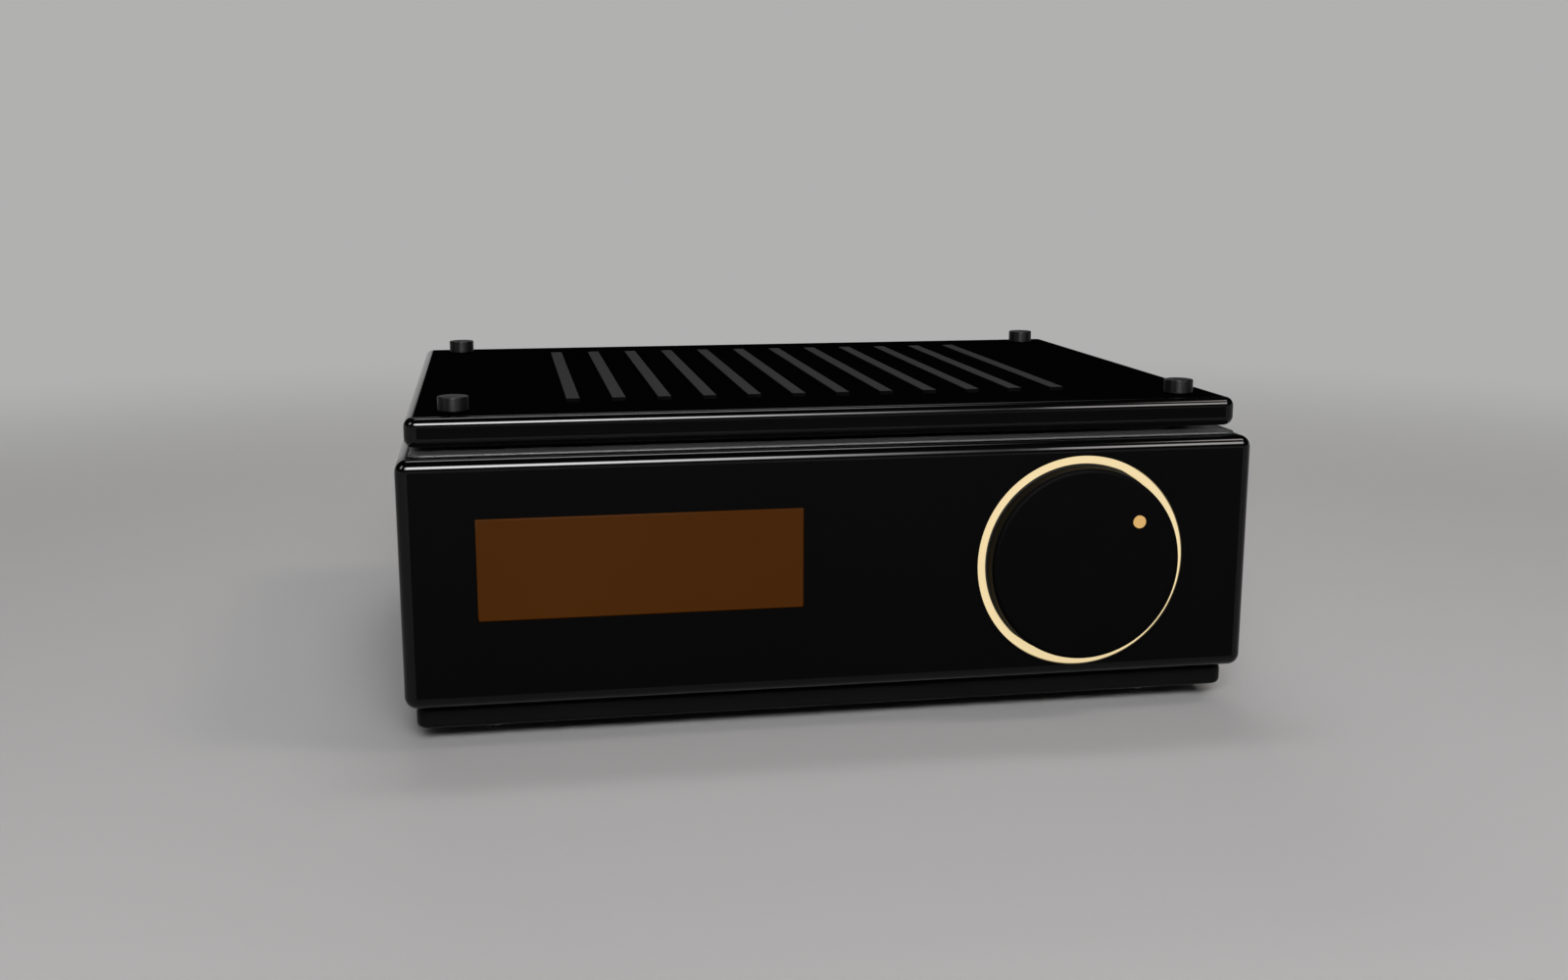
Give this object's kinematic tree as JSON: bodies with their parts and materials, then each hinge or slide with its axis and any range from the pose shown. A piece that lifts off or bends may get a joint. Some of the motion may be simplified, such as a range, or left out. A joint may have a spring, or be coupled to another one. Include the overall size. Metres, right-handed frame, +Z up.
{
  "type": "stereo receiver",
  "caption": "Low gloss black stereo receiver with a raised lid, heat-sink fins through the lid, an amber display and a large volume knob in a lit ring.",
  "frame": {"origin": "under the middle of the object's box, on the surface that its foot pads stand on", "axes": "+X to the viewer's right seen from the front, +Y from the front to the rear, +Z up"},
  "size_m": [0.32, 0.2706, 0.1262],
  "materials": {
    "gloss_black": "polished",
    "satin_grey": "satin anodised",
    "grey_sheet": "satin",
    "black_sheet": "satin",
    "rubber": "matte",
    "amber_window": "polished",
    "warm_diffuser": "frosted",
    "amber_diffuser": "frosted",
    "steel": "plated",
    "brass": "plated",
    "winding": "enamelled",
    "board": "satin",
    "black_plastic": "satin",
    "red_plastic": "satin",
    "capacitor_sleeve": "sleeved"
  },
  "bodies": {
    "chassis": {"front_panel": "gloss_black", "side_panel_left": "gloss_black", "side_panel_right": "gloss_black", "lid": "gloss_black", "base_plate": "satin_grey", "heat_sink": "satin_grey", "lid_screw_front_left": "satin_grey", "lid_screw_front_right": "satin_grey", "lid_screw_rear_left": "satin_grey", "lid_screw_rear_right": "satin_grey", "foot_front_left": "satin_grey", "foot_front_right": "satin_grey", "foot_rear_left": "satin_grey", "foot_rear_right": "satin_grey", "foot_pad_front_left": "rubber", "foot_pad_front_right": "rubber", "foot_pad_rear_left": "rubber", "foot_pad_rear_right": "rubber", "top_deck": "grey_sheet", "rear_panel": "black_sheet", "display_window": "amber_window", "light_ring": "warm_diffuser", "chassis_floor": "steel", "control_bracket": "steel", "volume_control": "steel", "control_nut": "steel", "transformer_core": "steel", "transformer_winding": "winding", "antenna_socket": "steel", "speaker_post_right_minus": "brass", "speaker_post_right_plus": "brass", "speaker_post_left_minus": "brass", "speaker_post_left_plus": "brass", "display_board": "board", "ring_light_board": "board", "amplifier_board": "board", "tuner_board": "board", "display_panel": "black_plastic", "dial_plate": "black_plastic", "output_transistor_left_front": "black_plastic", "output_transistor_left_rear": "black_plastic", "output_transistor_right_front": "black_plastic", "output_transistor_right_rear": "black_plastic", "input_jacks": "black_plastic", "mains_inlet": "black_plastic", "power_switch_frame": "black_plastic", "reservoir_capacitor_left": "capacitor_sleeve", "reservoir_capacitor_right": "capacitor_sleeve"},
    "knob": {"volume_knob": "gloss_black", "knob_pointer": "amber_diffuser", "volume_shaft": "brass"},
    "rocker": {"power_rocker": "black_plastic"},
    "washer_right_minus": {"post_washer_right_minus": "steel"},
    "washer_right_plus": {"post_washer_right_plus": "steel"},
    "washer_left_minus": {"post_washer_left_minus": "steel"},
    "washer_left_plus": {"post_washer_left_plus": "steel"},
    "cap_right_minus": {"post_cap_right_minus": "black_plastic"},
    "cap_right_plus": {"post_cap_right_plus": "red_plastic"},
    "cap_left_minus": {"post_cap_left_minus": "black_plastic"},
    "cap_left_plus": {"post_cap_left_plus": "red_plastic"}
  },
  "joints": [
    {"name": "volume_turn", "type": "hinge", "parent": "chassis", "child": "knob", "pos_m": [0.0922, -0.1283, 0.061], "axis": [0, 1, 0], "range_deg": [-202, 98]},
    {"name": "power_rock", "type": "hinge", "parent": "chassis", "child": "rocker", "pos_m": [0.118, 0.117, 0.0831], "axis": [1, 0, 0], "range_deg": [-20, 0]},
    {"name": "washer_slide_right_minus", "type": "slide", "parent": "chassis", "child": "washer_right_minus", "axis": [0, 1, 0], "range_m": [0, 0.0033]},
    {"name": "washer_slide_right_plus", "type": "slide", "parent": "chassis", "child": "washer_right_plus", "axis": [0, 1, 0], "range_m": [0, 0.0033]},
    {"name": "washer_slide_left_minus", "type": "slide", "parent": "chassis", "child": "washer_left_minus", "axis": [0, 1, 0], "range_m": [0, 0.0033]},
    {"name": "washer_slide_left_plus", "type": "slide", "parent": "chassis", "child": "washer_left_plus", "axis": [0, 1, 0], "range_m": [0, 0.0033]},
    {"name": "cap_turn_right_minus", "type": "hinge", "parent": "washer_right_minus", "child": "cap_right_minus", "pos_m": [0.042, 0.1167, 0.0639], "axis": [0, 1, 0], "range_deg": [0, 1440]},
    {"name": "cap_turn_right_plus", "type": "hinge", "parent": "washer_right_plus", "child": "cap_right_plus", "pos_m": [0.017, 0.1167, 0.0639], "axis": [0, 1, 0], "range_deg": [0, 1440]},
    {"name": "cap_turn_left_minus", "type": "hinge", "parent": "washer_left_minus", "child": "cap_left_minus", "pos_m": [-0.013, 0.1167, 0.0639], "axis": [0, 1, 0], "range_deg": [0, 1440]},
    {"name": "cap_turn_left_plus", "type": "hinge", "parent": "washer_left_plus", "child": "cap_left_plus", "pos_m": [-0.038, 0.1167, 0.0639], "axis": [0, 1, 0], "range_deg": [0, 1440]}
  ],
  "couplings": [
    {"joint": "washer_slide_right_minus", "follows": "cap_turn_right_minus", "m_per_rad": 0.00012732},
    {"joint": "washer_slide_right_plus", "follows": "cap_turn_right_plus", "m_per_rad": 0.00012732},
    {"joint": "washer_slide_left_minus", "follows": "cap_turn_left_minus", "m_per_rad": 0.00012732},
    {"joint": "washer_slide_left_plus", "follows": "cap_turn_left_plus", "m_per_rad": 0.00012732}
  ]
}
